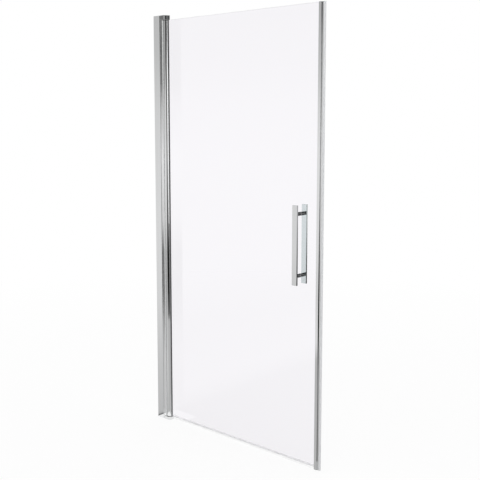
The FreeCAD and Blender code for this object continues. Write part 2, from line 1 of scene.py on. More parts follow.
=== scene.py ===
import math
import bpy
import numpy as np
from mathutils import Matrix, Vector
from mathutils.geometry import tessellate_polygon


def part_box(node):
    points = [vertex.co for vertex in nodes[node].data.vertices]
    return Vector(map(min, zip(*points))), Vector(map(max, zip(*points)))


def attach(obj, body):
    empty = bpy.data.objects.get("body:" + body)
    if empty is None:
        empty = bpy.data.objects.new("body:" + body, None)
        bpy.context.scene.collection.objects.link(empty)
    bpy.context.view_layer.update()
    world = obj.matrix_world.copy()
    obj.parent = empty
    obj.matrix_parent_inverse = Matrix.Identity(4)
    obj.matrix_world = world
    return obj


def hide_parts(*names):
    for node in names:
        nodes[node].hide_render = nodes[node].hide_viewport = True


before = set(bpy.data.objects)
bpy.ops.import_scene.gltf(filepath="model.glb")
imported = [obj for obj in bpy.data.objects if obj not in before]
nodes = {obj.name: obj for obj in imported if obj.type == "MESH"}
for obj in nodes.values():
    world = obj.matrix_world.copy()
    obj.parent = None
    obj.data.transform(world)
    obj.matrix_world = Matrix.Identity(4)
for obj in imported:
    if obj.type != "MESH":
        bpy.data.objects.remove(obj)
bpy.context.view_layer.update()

# Pivot shower door: the looks. Metres, in the part's frame: x runs from the wall to the closing edge,
# y from outside (minus) into the shower (plus), z up from the tray.
# Every new surface is an outline carried along a straight line or round an axis. An outline is a pair of
# arrays, (edges, 2 ends, 2 coordinates): where each short edge starts and ends, and its outward normals.

CHORD = 6e-6              # an arc's chords stay this close to it
SAME = 1e-8               # points nearer than this are one point


# ---------------------------------------------------------------- outlines

def arc(centre, radius, start, sweep):
    """The circle centre + radius (cos t, sin t) for t from start over sweep, in equal steps short enough for
    CHORD. The normal is radial, outward for a sweep that turns left and inward for one that turns right."""
    step = 2 * math.acos(max(-1.0, 1 - CHORD / radius))
    count = max(3, math.ceil(abs(sweep) / step))
    angles = start + sweep * np.linspace(0, 1, count + 1)
    radial = np.stack([np.cos(angles), np.sin(angles)], axis=1)
    points = np.array(centre) + radius * radial
    normals = radial * np.sign(sweep)
    return np.stack([points[:-1], points[1:]], axis=1), np.stack([normals[:-1], normals[1:]], axis=1)


def straight(start, end):
    """One edge; its normal is the direction turned a quarter turn to the right."""
    start, end = np.array(start, float), np.array(end, float)
    along = (end - start) / np.linalg.norm(end - start)
    normal = np.array([along[1], -along[0]])
    return np.array([[start, end]]), np.array([[normal, normal]])


def joined(chains, closed=True):
    """Chains of edges put end to end, with a straight edge over each gap."""
    points, normals = [], []
    for index, (chain_points, chain_normals) in enumerate(chains):
        points.append(chain_points)
        normals.append(chain_normals)
        if index + 1 == len(chains) and not closed:
            break
        end, start = chain_points[-1, 1], chains[(index + 1) % len(chains)][0][0, 0]
        if np.linalg.norm(start - end) > SAME:
            gap_points, gap_normals = straight(end, start)
            points.append(gap_points)
            normals.append(gap_normals)
    return np.concatenate(points), np.concatenate(normals)


def corner(before, at, after, radius):
    """The arc of that radius that touches both sides of a corner, about a point on its bisector."""
    to_before = (before - at) / np.linalg.norm(before - at)
    to_after = (after - at) / np.linalg.norm(after - at)
    half = math.acos(np.clip(to_before @ to_after, -1, 1)) / 2
    bisector = (to_before + to_after) / np.linalg.norm(to_before + to_after)
    centre = at + bisector * radius / math.sin(half)
    first = at + to_before * radius / math.tan(half) - centre
    last = at + to_after * radius / math.tan(half) - centre
    start = math.atan2(first[1], first[0])
    sweep = (math.atan2(last[1], last[0]) - start + math.pi) % (2 * math.pi) - math.pi
    return arc(centre, radius, start, sweep)


def through(corners, closed=True):
    """An outline through corners (a, b, radius), anticlockwise if closed, rounded at each corner."""
    places = np.array([(a, b) for a, b, radius in corners], float)
    radii = [radius for a, b, radius in corners]
    if closed and signed_area(places) < 0:
        places, radii = places[::-1], radii[::-1]
    count = len(places)
    chains = []
    for index in range(count):
        after = places[(index + 1) % count]
        if radii[index] > 0:
            chains.append(corner(places[index - 1], places[index], after, radii[index]))
        elif closed or index + 1 < count:
            sharp_end = places[index] + (after - places[index]) * 1e-3
            chains.append(straight(places[index], sharp_end))
    if not closed:
        chains.append(straight(places[-1] + (places[-2] - places[-1]) * 1e-3, places[-1]))
    return merged_straights(*joined(chains, closed))


def merged_straights(points, normals):
    """The same outline with each run of edges in one line as one edge."""
    flat = np.abs(normals[:, 0] - normals[:, 1]).max(1) < 1e-9
    same = np.abs(normals[1:, 0] - normals[:-1, 1]).max(1) < 1e-9
    starts = np.concatenate([[True], ~(flat[1:] & flat[:-1] & same)])
    first = np.flatnonzero(starts)
    last = np.concatenate([first[1:], [len(points)]]) - 1
    return (np.stack([points[first, 0], points[last, 1]], axis=1),
            np.stack([normals[first, 0], normals[last, 1]], axis=1))


def signed_area(places):
    """Half the sum of a1 b2 - a2 b1 round the corners: above zero if they run anticlockwise."""
    after = np.roll(places, -1, axis=0)
    return 0.5 * np.sum(places[:, 0] * after[:, 1] - after[:, 0] * places[:, 1])


def circle(a, b, radius):
    """The whole circle about (a, b)."""
    return arc((a, b), radius, 0, 2 * math.pi)


def rectangle(a0, a1, b0, b1, radius=0):
    """A rectangle with its sides along the two coordinates, rounded at its corners."""
    return through([(a0, b0, radius), (a1, b0, radius), (a1, b1, radius), (a0, b1, radius)])


def as_hole(outline):
    """An outline run the other way, with its normals into the hole."""
    points, normals = outline
    return points[::-1, ::-1], -normals[::-1, ::-1]


def inset(outline, distance):
    """Each point moved back along its normal by that distance."""
    points, normals = outline
    return points - normals * distance, normals


def mirrored(half):
    """Corners of a section from those of its half with negative b, listed with a rising."""
    return half + [(a, -b, radius) for a, b, radius in reversed(half)]


# ---------------------------------------------------------------- surfaces from outlines

def lift(pairs, height):
    """(.., 2) arrays with a third coordinate."""
    return np.concatenate([pairs, np.broadcast_to(height, pairs.shape[:-1] + (1,))], axis=-1)


def loft(low, low_height, high, high_height):
    """Faces between two outlines with the same edges, at two heights. The normal is the outline's own,
    leaned back by how far the surface moves outward as it rises."""
    rise = high_height - low_height
    lean = np.sum(low[1] * (high[0] - low[0]), axis=-1, keepdims=True)
    normals = np.concatenate([low[1] * rise, -lean], axis=-1)
    normals /= np.linalg.norm(normals, axis=-1, keepdims=True)
    bottom, top = lift(low[0], low_height), lift(high[0], high_height)
    return (np.stack([bottom[:, 0], bottom[:, 1], top[:, 1], top[:, 0]], axis=1),
            np.stack([normals[:, 0], normals[:, 1], normals[:, 1], normals[:, 0]], axis=1))


def wall(outline, low, high):
    """The outline carried straight from low to high."""
    return loft(outline, low, outline, high)


def rim(outline, height, radius, side, steps=5):
    """A rounded edge between a wall and its end at height: for t from 0 to a quarter turn the outline moves
    in by radius (1 - cos t) and stands radius (1 - sin t) short of the end. side is 1 for the upper end."""
    faces = []
    turns = np.linspace(0, math.pi / 2, steps + 1)
    points, normals = outline
    for turn, after in zip(turns[:-1], turns[1:]):
        rows, row_normals = [], []
        for angle in (turn, after):
            level = height - side * radius * (1 - math.sin(angle))
            rows.append(lift(points - normals * radius * (1 - math.cos(angle)), level))
            row_normals.append(lift(normals * math.cos(angle), side * math.sin(angle)))
        order = [(0, 0), (0, 1), (1, 1), (1, 0)][::side]
        faces.append((np.stack([rows[row][:, end] for row, end in order], axis=1),
                      np.stack([row_normals[row][:, end] for row, end in order], axis=1)))
    return faces


def flat_end(outline, holes, height, side):
    """A flat face inside an outline and outside its holes, in triangles; side is 1 if it faces up."""
    loops = [outline[0][:, 0]] + [hole[0][:, 0] for hole in holes]
    triangles = np.array(tessellate_polygon([[Vector((a, b, 0)) for a, b in loop] for loop in loops]))
    places = lift(np.concatenate(loops), height)[triangles]
    over = np.cross(places[:, 1] - places[:, 0], places[:, 2] - places[:, 0])[:, 2] * side < 0
    places[over] = places[over][:, ::-1]
    return places, np.broadcast_to([0.0, 0.0, side], places.shape)


def turned(outline, steps):
    """An outline in (radius, height) carried round the height axis: (r cos t, r sin t, h)."""
    points, normals = outline
    angles = np.linspace(0, 2 * math.pi, steps + 1)
    angles[-1] = 0
    around = np.stack([np.cos(angles), np.sin(angles)], axis=1)

    def ring(pairs):
        across = pairs[:, :, None, :1] * around[None, None]
        up = np.broadcast_to(pairs[:, :, None, 1:], across.shape[:3] + (1,))
        return np.concatenate([across, up], axis=-1)

    def faces(rings):
        corners = [rings[:, 0, :-1], rings[:, 0, 1:], rings[:, 1, 1:], rings[:, 1, :-1]]
        return np.stack(corners, axis=2).reshape(-1, 4, 3)

    return faces(ring(points)), faces(ring(normals))


def extruded(outline, holes, low, high, low_rim=0.0, high_rim=0.0, blind=()):
    """A section drawn along its height, with holes right through, rounded ends where a rim is given, and
    blind holes (outline, floor height) that open in the upper end."""
    parts = [wall(outline, low + low_rim, high - high_rim)]
    for height, radius, side in ((low, low_rim, -1), (high, high_rim, 1)):
        if radius:
            parts += rim(outline, height, radius, side)
        mouths = holes + [hole for hole, floor in blind] if side > 0 else holes
        parts.append(flat_end(inset(outline, radius), mouths, height, side))
    parts += [wall(hole, low, high) for hole in holes]
    for hole, floor in blind:
        parts.append(wall(hole, floor, high))
        parts.append(flat_end(as_hole(hole), [], floor, 1))
    return parts


ALONG = {                 # the frame's directions of a section's two coordinates and of its height
    "x": np.array([[0, 1, 0], [0, 0, 1], [1, 0, 0]], float),
    "y": np.array([[0, 0, 1], [1, 0, 0], [0, 1, 0]], float),
    "-y": np.array([[1, 0, 0], [0, 0, 1], [0, -1, 0]], float),
    "z": np.eye(3),
}


def set_along(parts, direction, origin=(0, 0, 0)):
    """Surfaces turned from section coordinates into the frame, with section zero at origin."""
    turn = ALONG[direction]
    return [(places @ turn + np.array(origin, float), normals @ turn) for places, normals in parts]


# ---------------------------------------------------------------- pieces

def in_scene(name, data):
    """A new object at the origin with that mesh, lamp or lens."""
    made = bpy.data.objects.new(name, data)
    bpy.context.scene.collection.objects.link(made)
    return made


def piece(name, parts, body, slot, finish, *replaced):
    """One mesh from surfaces: corners at one place are one point, faces that close up there are dropped,
    and each face corner keeps the normal that its formula gave."""
    places = np.concatenate([faces.reshape(-1, 3) for faces, normals in parts])
    keys = np.round(places / SAME / 10).astype(np.int64)
    unique, index = np.unique(keys, axis=0, return_inverse=True)
    index = index.reshape(-1)
    corners = np.zeros((len(unique), 3))
    corners[index] = places
    polygons, corner_normals = [], []
    start = 0
    for faces, normals in parts:
        count, sides = faces.shape[:2]
        ids = index[start:start + count * sides].reshape(count, sides)
        start += count * sides
        doubled = ids == np.roll(ids, -1, axis=1)
        for allowed in range(sides - 2):
            rows = doubled.sum(1) == allowed
            keep = ~doubled[rows]
            polygons += ids[rows][keep].reshape(-1, sides - allowed).tolist()
            corner_normals.append(np.asarray(normals)[rows][keep].reshape(-1, 3))
    mesh = bpy.data.meshes.new(name)
    mesh.from_pydata(corners.tolist(), [], polygons)
    mesh.shade_smooth()
    flat_normals = np.concatenate(corner_normals)
    flat_normals /= np.linalg.norm(flat_normals, axis=1, keepdims=True)
    mesh.normals_split_custom_set(flat_normals.tolist())
    mesh.materials.append(FINISH[finish])
    made = in_scene(name, mesh)
    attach(made, body)
    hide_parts(*replaced)
    return made


def size_of(node):
    """A node's lowest and highest corner, as six numbers."""
    low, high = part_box(node)
    return low.x, low.y, low.z, high.x, high.y, high.z


# ---------------------------------------------------------------- sizes, from the frame where it has them

CHANNEL_X0, CHANNEL_Y0, CHANNEL_Z0, CHANNEL_X1, CHANNEL_Y1, CHANNEL_Z1 = size_of("wall_channel")
WEB = 0.0018              # the channel's back wall
FLANGE = 0.0013
POST_X0, POST_Y0, POST_Z0, POST_X1, POST_Y1, POST_Z1 = size_of("post_profile")
POST_WALL = 0.0016
COVER_WALL = 0.0014       # the cover strips on the post's end
COVER_HOOK = 0.0124
PIVOT_X = (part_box("thrust_washer")[0].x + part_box("thrust_washer")[1].x) / 2
_, _, BARREL_Z0, BARREL_X1, _, BARREL_Z1 = size_of("barrel_profile")
BARREL_R = 0.0145
BORE_R = 0.006
JAW_HALF = 0.0065
POCKET_HALF = 0.005
POCKET_X = PIVOT_X + 0.0086
GLASS_X0, GLASS_Y0, GLASS_Z0, GLASS_X1, GLASS_Y1, GLASS_Z1 = size_of("glass_panel")
GLASS_HOLE_R = 0.006
SEAL_X0, SEAL_Y0, SEAL_Z0, SEAL_X1, _, SEAL_Z1 = size_of("magnetic_seal")
CLOSING_X0, CLOSING_Y0, CLOSING_Z0, CLOSING_X1, _, CLOSING_Z1 = size_of("closing_profile")
CLAMP_X1 = CLOSING_X0 + 0.0135    # where the wide part that holds the glass ends
HOLDER_HALF = 0.0038
SLOT_HALF = 0.0026        # the holder's slot for the seal's foot
SLOT_MOUTH_HALF = 0.0015
SEAL_HEAD = 0.0074        # how far the magnetic seal stands out of its holder
STANDOFF_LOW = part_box("outer_standoffs")[0]
STANDOFF_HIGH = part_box("outer_standoffs")[1]
STANDOFF_R = 0.008
HANDLE_X = (STANDOFF_LOW.x + STANDOFF_HIGH.x) / 2
STANDOFF_ZS = (STANDOFF_LOW.z + STANDOFF_R, STANDOFF_HIGH.z - STANDOFF_R)
SPIGOT_R = 0.00502
SPIGOT_DEPTH = 0.0047
COVER_LOW, COVER_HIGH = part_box("locking_screw_covers")
COVER_R = 0.0062
LOCK_X = (COVER_LOW.x + COVER_HIGH.x) / 2
LOCK_ZS = (COVER_LOW.z + COVER_R, (COVER_LOW.z + COVER_HIGH.z) / 2, COVER_HIGH.z - COVER_R)
LOCK_TRAVEL = 0.015
LOCK_SLOT_HALF = 0.0026
WALL_HOLE_R = 0.00275
WALL_HOLE_ZS = (0.110, 0.670, 1.230, 1.790)
BAR_EDGE = 0.0008
HAIR = 0.0001             # the least gap, and the least corner radius
SHARP, EDGE, FILLET, EASED, ROUND = 0.0002, 0.0003, 0.0004, 0.0005, 0.0008    # other corner radii


# ---------------------------------------------------------------- wall channel and post

def drawn_strip(corners, side, low, high):
    """A section given for the inner side, mirrored if side is -1, and carried from low to high."""
    return extruded(through([(a, b * side, radius) for a, b, radius in corners]), [], low, high)


def without_faces(parts, axis, levels, sides):
    """Surfaces without the wall faces that lie flat at one of the levels and face along that axis."""
    kept = []
    for places, normals in parts:
        drop = np.zeros(len(places), bool)
        for level, side in zip(levels, sides):
            drop |= (np.abs(places[..., axis] - level) < SAME).all(1) & (normals[:, 0, axis] * side > 0.99)
        kept.append((places[~drop], normals[~drop]))
    return kept


def wall_channel():
    """The U that is screwed to the wall: its section carried up. The faces of its back and of its inner
    flange are laid again with the mouths of the screw holes and of the three slots cut out."""
    inner = CHANNEL_Y1 - FLANGE
    web_face = CHANNEL_X0 + WEB
    section = through(mirrored([
        (CHANNEL_X0, CHANNEL_Y0, ROUND), (CHANNEL_X1, CHANNEL_Y0, EASED),
        (CHANNEL_X1, -inner, EDGE), (web_face, -inner, EASED),
    ]))
    parts = extruded(section, [], CHANNEL_Z0, CHANNEL_Z1)
    parts = without_faces(parts, 1, (inner, CHANNEL_Y1), (-1, 1))
    parts = without_faces(parts, 0, (CHANNEL_X0, web_face), (-1, 1))
    ends = LOCK_X - LOCK_SLOT_HALF, LOCK_X + LOCK_TRAVEL + LOCK_SLOT_HALF
    slots = [as_hole(rectangle(z - LOCK_SLOT_HALF, z + LOCK_SLOT_HALF, *ends, LOCK_SLOT_HALF))
             for z in LOCK_ZS]
    for level, outward, x0, x1 in (
        (inner, -1, web_face + EASED, CHANNEL_X1 - EDGE),
        (CHANNEL_Y1, 1, CHANNEL_X0 + ROUND, CHANNEL_X1 - EASED),
    ):
        face = rectangle(CHANNEL_Z0, CHANNEL_Z1, x0, x1)
        parts += set_along([flat_end(face, slots, level, outward)], "y")
    parts += set_along([wall(slot, inner, CHANNEL_Y1) for slot in slots], "y")
    holes = [as_hole(circle(0, z, WALL_HOLE_R)) for z in WALL_HOLE_ZS]
    for level, outward, half in ((CHANNEL_X0, -1, CHANNEL_Y1 - ROUND), (web_face, 1, inner - EASED)):
        face = rectangle(-half, half, CHANNEL_Z0, CHANNEL_Z1)
        parts += set_along([flat_end(face, holes, level, outward)], "x")
    parts += set_along([wall(hole, CHANNEL_X0, web_face) for hole in holes], "x")
    return parts


def post_profile():
    """The box that slides in the channel: outside, groove for the seal, and two chambers."""
    groove_floor, groove_half, mouth_half = POST_X1 - 0.0052, 0.0034, 0.0016
    housing_x, housing_half = groove_floor - 0.0014, groove_half + 0.0013
    lip, inside = POST_X1 - POST_WALL, POST_Y1 - POST_WALL
    web_x0, web_x1 = POST_X0 + 0.016 - POST_WALL / 2, POST_X0 + 0.016 + POST_WALL / 2
    outside = through(mirrored([
        (POST_X0, POST_Y0, ROUND), (POST_X1, POST_Y0, EDGE), (POST_X1, -mouth_half, SHARP),
        (lip, -mouth_half, 0), (lip, -groove_half, 0), (groove_floor, -groove_half, 0),
    ]))
    back = rectangle(POST_X0 + POST_WALL, web_x0, -inside, inside, FILLET)
    front = through(mirrored([
        (web_x1, -inside, FILLET), (lip, -inside, FILLET),
        (lip, -housing_half, 0), (housing_x, -housing_half, 0),
    ]))
    return extruded(outside, [as_hole(back), as_hole(front)], POST_Z0, POST_Z1)


def post_seal():
    """A foot in the groove, a neck and a bulb towards the barrel, as one outline with a hollow bulb."""
    x0, y0, z0, x1, _, z1 = size_of("post_seal")
    foot_x1 = POST_X1 - POST_WALL - HAIR
    neck_half, bulb_half, skin = 0.0015, 0.0026, 0.0008
    section = through(mirrored([
        (x0, y0, EDGE), (foot_x1, y0, EDGE), (foot_x1, -neck_half, 0), (POST_X1, -neck_half, 0),
        (POST_X1, -bulb_half, EASED), (x1, -bulb_half, 0.0016),
    ]))
    hollow_half = bulb_half - skin
    hollow = through(mirrored([(POST_X1 + skin, -hollow_half, EASED), (x1 - skin, -hollow_half, 0.001)]))
    return extruded(section, [as_hole(hollow)], z0, z1)


def cover_strip(node, side):
    """A strip along the post's end: a leg on the post, a plate in line with its face, a hook on the edge."""
    x0, y0, z0, x1, y1, z1 = size_of(node)
    low, face = min(abs(y0), abs(y1)), max(abs(y0), abs(y1))
    back = face - COVER_WALL
    corners = [
        (x0, low, EDGE), (x0 + COVER_WALL, low, EDGE), (x0 + COVER_WALL, back, FILLET),
        (x1 - COVER_WALL, back, 0), (x1 - COVER_WALL, COVER_HOOK, SHARP),
        (x1, COVER_HOOK, SHARP), (x1, face, FILLET), (x0, face, SHARP),
    ]
    return drawn_strip(corners, side, z0, z1)


def wiper_seal(node, side):
    """A soft strip round the cover strip's hook, that reaches towards the barrel."""
    x0, y0, z0, x1, y1, z1 = size_of(node)
    low, front = min(abs(y0), abs(y1)), max(abs(y0), abs(y1))
    back, hook_tip = front - COVER_WALL, COVER_HOOK - HAIR
    hook_x0, hook_x1 = x0 + 0.0013, x0 + 0.00285
    heel_x, knee_x, knee = x0 + 0.0038, x0 + 0.0044, COVER_HOOK + 0.0004
    corners = [
        (hook_x1, front, EDGE), (hook_x1, hook_tip, 0), (hook_x0, hook_tip, 0),
        (hook_x0, back, HAIR), (x0, back, SHARP), (x0, low, EDGE),
        (heel_x, low, EASED), (knee_x, knee, FILLET),
        (x1, back + HAIR, EASED), (x1, front, 0.0007),
    ]
    return drawn_strip(corners, side, z0, z1)


def screw_covers():
    """Three low round caps: a disc with a rounded rim, hollow behind, turned about its own axis."""
    depth, shoulder = COVER_HIGH.y - COVER_LOW.y, 0.0016
    recess_r, recess = 0.00425, 0.0027
    section = through([(0, recess, 0), (recess_r, recess, 0), (recess_r, 0, 0), (COVER_R, 0, SHARP),
                       (COVER_R, depth, shoulder), (0, depth, 0)], closed=False)
    cap = turned(section, steps=48)
    return [part for z in LOCK_ZS for part in set_along([cap], "y", (LOCK_X, COVER_LOW.y, z))]


# ---------------------------------------------------------------- barrel and its gaskets

def barrel_profile():
    """The round extrusion: the circle from jaw to jaw, the jaws and the pocket, a bore and two chambers."""
    jaw_x = math.sqrt(BARREL_R ** 2 - JAW_HALF ** 2)
    jaw_angle = math.asin(JAW_HALF / BARREL_R)
    tip, tip_round = BARREL_X1, 0.0007
    jaws = through([
        (PIVOT_X + jaw_x, -JAW_HALF, 0), (tip, -JAW_HALF, tip_round), (tip, -POCKET_HALF, EDGE),
        (POCKET_X, -POCKET_HALF, EDGE), (POCKET_X, POCKET_HALF, EDGE), (tip, POCKET_HALF, EDGE),
        (tip, JAW_HALF, tip_round), (PIVOT_X + jaw_x, JAW_HALF, 0),
    ], closed=False)
    round_part = arc((PIVOT_X, 0), BARREL_R, jaw_angle, 2 * math.pi - 2 * jaw_angle)
    holes = [circle(PIVOT_X, 0, BORE_R), barrel_chamber(-1), barrel_chamber(1)]
    return extruded(joined([round_part, jaws]), [as_hole(hole) for hole in holes], BARREL_Z0, BARREL_Z1)


def barrel_chamber(side):
    """The hollow on one side, between the outer wall and the wall round the bore."""
    outer_r, inner_r, web_half = 0.0127, 0.0077, 0.0009
    outer_start, inner_start = math.asin(JAW_HALF / outer_r), math.asin(JAW_HALF / inner_r)
    outer_end, inner_end = math.pi - math.asin(web_half / outer_r), math.pi - math.asin(web_half / inner_r)
    outer = arc((PIVOT_X, 0), outer_r, outer_start, outer_end - outer_start)
    inner = arc((PIVOT_X, 0), inner_r, inner_end, inner_start - inner_end)
    points, normals = joined([outer, inner])
    if side > 0:
        return points, normals
    turn = np.array([1, -1])
    return (points * turn)[::-1, ::-1], (normals * turn)[::-1, ::-1]


def glazing_gasket(node, side):
    """A strip in the pocket with a lip over the jaw's tip."""
    x0, _, z0, x1, _, z1 = size_of(node)
    tip = BARREL_X1 + HAIR
    inner, outer, lip = GLASS_Y1, POCKET_HALF - 0.00002, POCKET_HALF + 0.00038
    corners = [(x0, inner, 0), (x1, inner, SHARP), (x1, lip, EASED), (tip, lip, SHARP),
               (tip, outer, 0), (x0, outer, 0)]
    return drawn_strip(corners, side, z0, z1)


def barrel_plug(node, up):
    """A disc over the barrel's end, cut straight beside the glass, and a spigot with the bush's hole."""
    _, _, z0, _, _, z1 = size_of(node)
    flange, cut = 0.0015, 0.0078
    angle = math.acos(cut / BARREL_R)
    disc = joined([arc((PIVOT_X, 0), BARREL_R, angle, 2 * math.pi - 2 * angle)])
    hole = as_hole(circle(PIVOT_X, 0, 0.0045))
    spigot = circle(PIVOT_X, 0, BORE_R - 0.00002)
    side = 1 if up else -1
    outer_level, far = (z1, z0) if up else (z0, z1)
    inner_level = outer_level - side * flange
    return [
        wall(disc, *sorted((inner_level, outer_level))),
        wall(spigot, *sorted((inner_level, far))),
        wall(hole, z0, z1),
        flat_end(disc, [hole], outer_level, side),
        flat_end(disc, [as_hole(spigot)], inner_level, -side),
        flat_end(spigot, [hole], far, -side),
    ]


# ---------------------------------------------------------------- glass and its edges

def glass_panel():
    """The pane: its outline with ground corners, carried through its thickness, and two drilled holes."""
    arris = 0.0006
    edge = rectangle(GLASS_Z0, GLASS_Z1, GLASS_X0, GLASS_X1, arris)
    holes = [as_hole(circle(z, HANDLE_X, GLASS_HOLE_R)) for z in STANDOFF_ZS]
    return set_along(extruded(edge, holes, GLASS_Y0, GLASS_Y1, arris, arris), "y")


def closing_half():
    """Corners of half the closing profile's outside: a wide clamp and a narrower holder."""
    clamp_edge, holder_edge = 0.0009, 0.0006
    return [
        (CLOSING_X0, CLOSING_Y0, clamp_edge), (CLAMP_X1, CLOSING_Y0, clamp_edge),
        (CLAMP_X1, -HOLDER_HALF, FILLET), (CLOSING_X1, -HOLDER_HALF, holder_edge),
    ]


def closing_profile():
    """The extrusion on the free edge, with the glass pocket, two hollows and the slot for the seal."""
    pocket_half, pocket_x = 0.004, GLASS_X1 + 0.0012
    slot_x, lip_x = pocket_x + 0.0014, CLOSING_X1 - 0.0013
    outside = mirrored(closing_half() + [
        (CLOSING_X1, -SLOT_MOUTH_HALF, SHARP), (lip_x, -SLOT_MOUTH_HALF, 0),
        (lip_x, -SLOT_HALF, 0), (slot_x, -SLOT_HALF, 0),
    ])
    pocket = [(CLOSING_X0, pocket_half, EDGE), (pocket_x, pocket_half, 0),
              (pocket_x, -pocket_half, 0), (CLOSING_X0, -pocket_half, EDGE)]
    low, high = pocket_half + 0.0012, -CLOSING_Y0 - 0.0012
    x0, x1 = CLOSING_X0 + 0.0016, CLAMP_X1 - 0.0014
    hollows = [as_hole(rectangle(x0, x1, b0, b1, EDGE)) for b0, b1 in ((-high, -low), (low, high))]
    return extruded(through(outside + pocket), hollows, CLOSING_Z0, CLOSING_Z1)


def closing_cap(node, around_glass):
    """A moulded cap over the profile's end, rounded on its outer edge; the upper one goes round the glass."""
    _, _, z0, _, _, z1 = size_of(node)
    outside = mirrored(closing_half())
    if not around_glass:
        return extruded(through(outside), [], z0, z1, low_rim=EASED)
    gap, reach = GLASS_Y1 + HAIR, GLASS_X1 + 2 * HAIR
    notch = [(CLOSING_X0, gap, EASED), (reach, gap, EASED), (reach, -gap, EASED), (CLOSING_X0, -gap, EASED)]
    return extruded(through(outside + notch), [], z0, z1, high_rim=EASED)


def closing_gasket():
    """A U round the glass's edge."""
    x0, y0, z0, x1, y1, z1 = size_of("closing_gasket")
    section = through([(x0, y0, SHARP), (x1, y0, HAIR), (x1, y1, HAIR), (x0, y1, SHARP),
                       (x0, GLASS_Y1, HAIR), (GLASS_X1, GLASS_Y1, 0), (GLASS_X1, GLASS_Y0, 0),
                       (x0, GLASS_Y0, HAIR)])
    return extruded(section, [], z0, z1)


def magnetic_seal():
    """The soft strip: a head with the magnet's room in it, a neck and a foot in the slot."""
    head_x, foot_x1 = SEAL_X1 - SEAL_HEAD, CLOSING_X1 - 0.0014
    neck_half, foot_half, room_half = 0.0013, 0.0024, 0.00245
    neck_x1 = head_x + 0.0003
    head_back, head_nose = 0.0006, 0.0022
    head = through(mirrored([(head_x, SEAL_Y0, head_back), (SEAL_X1, SEAL_Y0, head_nose)]))
    parts = extruded(head, [], SEAL_Z0, SEAL_Z1, FILLET, FILLET)
    room_x0, room_x1 = head_x + 0.00145, SEAL_X1 - 0.00085
    room = rectangle(room_x0, room_x1, -room_half, room_half)
    room_low, room_high = SEAL_Z0 + 0.00195, SEAL_Z1 - 0.00195
    parts.append(wall(as_hole(room), room_low, room_high))
    parts.append(flat_end(room, [], room_low, 1))
    parts.append(flat_end(room, [], room_high, -1))
    tail = through(mirrored([
        (SEAL_X0, -foot_half, 0), (foot_x1, -foot_half, SHARP), (foot_x1, -neck_half, 0),
        (neck_x1, -neck_half, 0),
    ]))
    return parts + extruded(tail, [], CLOSING_Z0, CLOSING_Z1)


def drip_seal():
    """The clear strip under the glass, drawn along x: a clip, a fin straight down and one slanting inward."""
    x0, y0, z0, x1, _, z1 = size_of("drip_seal")
    outer, base = -y0, GLASS_Z0 - 0.0016
    side_z0, root_half, fin_half = base + 0.0006, 0.0009, 0.0004
    slant_y0, slant_z0, slant_y1, slant_z1 = 0.0090, 0.0107, 0.0096, 0.0114
    corners = [
        (-outer, z1, FILLET), (GLASS_Y0, z1, EDGE), (GLASS_Y0, GLASS_Z0, 0), (GLASS_Y1, GLASS_Z0, 0),
        (GLASS_Y1, z1, EDGE), (outer, z1, FILLET), (outer, side_z0, FILLET), (slant_y1, slant_z1, EDGE),
        (slant_y0, slant_z0, EDGE), (outer - 0.0016, base, ROUND),
        (root_half, base, ROUND), (fin_half, z0, EDGE), (-fin_half, z0, EDGE), (-root_half, base, ROUND),
        (-outer, base, ROUND),
    ]
    return set_along(extruded(through(corners), [], x0, x1), "x")


# ---------------------------------------------------------------- handle

def handle_bar(node, side):
    """A flat bar with eased edges. Its height here is the frame's y, counted so that its back, where the two
    blind holes open, is the upper end."""
    x0, y0, z0, x1, y1, z1 = size_of(node)
    if side > 0:
        outline = rectangle(x0, x1, z0, z1, BAR_EDGE)
        spots = [(HANDLE_X, z) for z in STANDOFF_ZS]
        low, high, direction = -y1, -y0, "-y"
    else:
        outline = rectangle(z0, z1, x0, x1, BAR_EDGE)
        spots = [(z, HANDLE_X) for z in STANDOFF_ZS]
        low, high, direction = y0, y1, "y"
    holes = [(as_hole(circle(a, b, SPIGOT_R)), high - SPIGOT_DEPTH) for a, b in spots]
    return set_along(extruded(outline, [], low, high, BAR_EDGE, BAR_EDGE, holes), direction)


# ---------------------------------------------------------------- finishes: shared groups

def node(tree, kind, inputs=None, **settings):
    """A shader node with its settings, each input given a value or a socket to read."""
    made = tree.nodes.new("ShaderNode" + kind)
    for name, value in settings.items():
        setattr(made, name, value)
    for name, value in (inputs or {}).items():
        if isinstance(value, bpy.types.NodeSocket):
            tree.links.new(value, made.inputs[name])
        else:
            made.inputs[name].default_value = value
    return made


def math_node(tree, operation, first, second):
    return node(tree, "Math", {0: first, 1: second}, operation=operation).outputs[0]


def new_group(name, inputs, outputs):
    """An empty shader group with named sockets, and the sockets to wire inside it."""
    group = bpy.data.node_groups.new(name, "ShaderNodeTree")
    for label, kind, value in inputs:
        socket = group.interface.new_socket(label, in_out="INPUT", socket_type="NodeSocket" + kind)
        if value is not None:
            socket.default_value = value
    for label in outputs:
        group.interface.new_socket(label, in_out="OUTPUT", socket_type="NodeSocketFloat")
    return group, group.nodes.new("NodeGroupInput").outputs, group.nodes.new("NodeGroupOutput").inputs


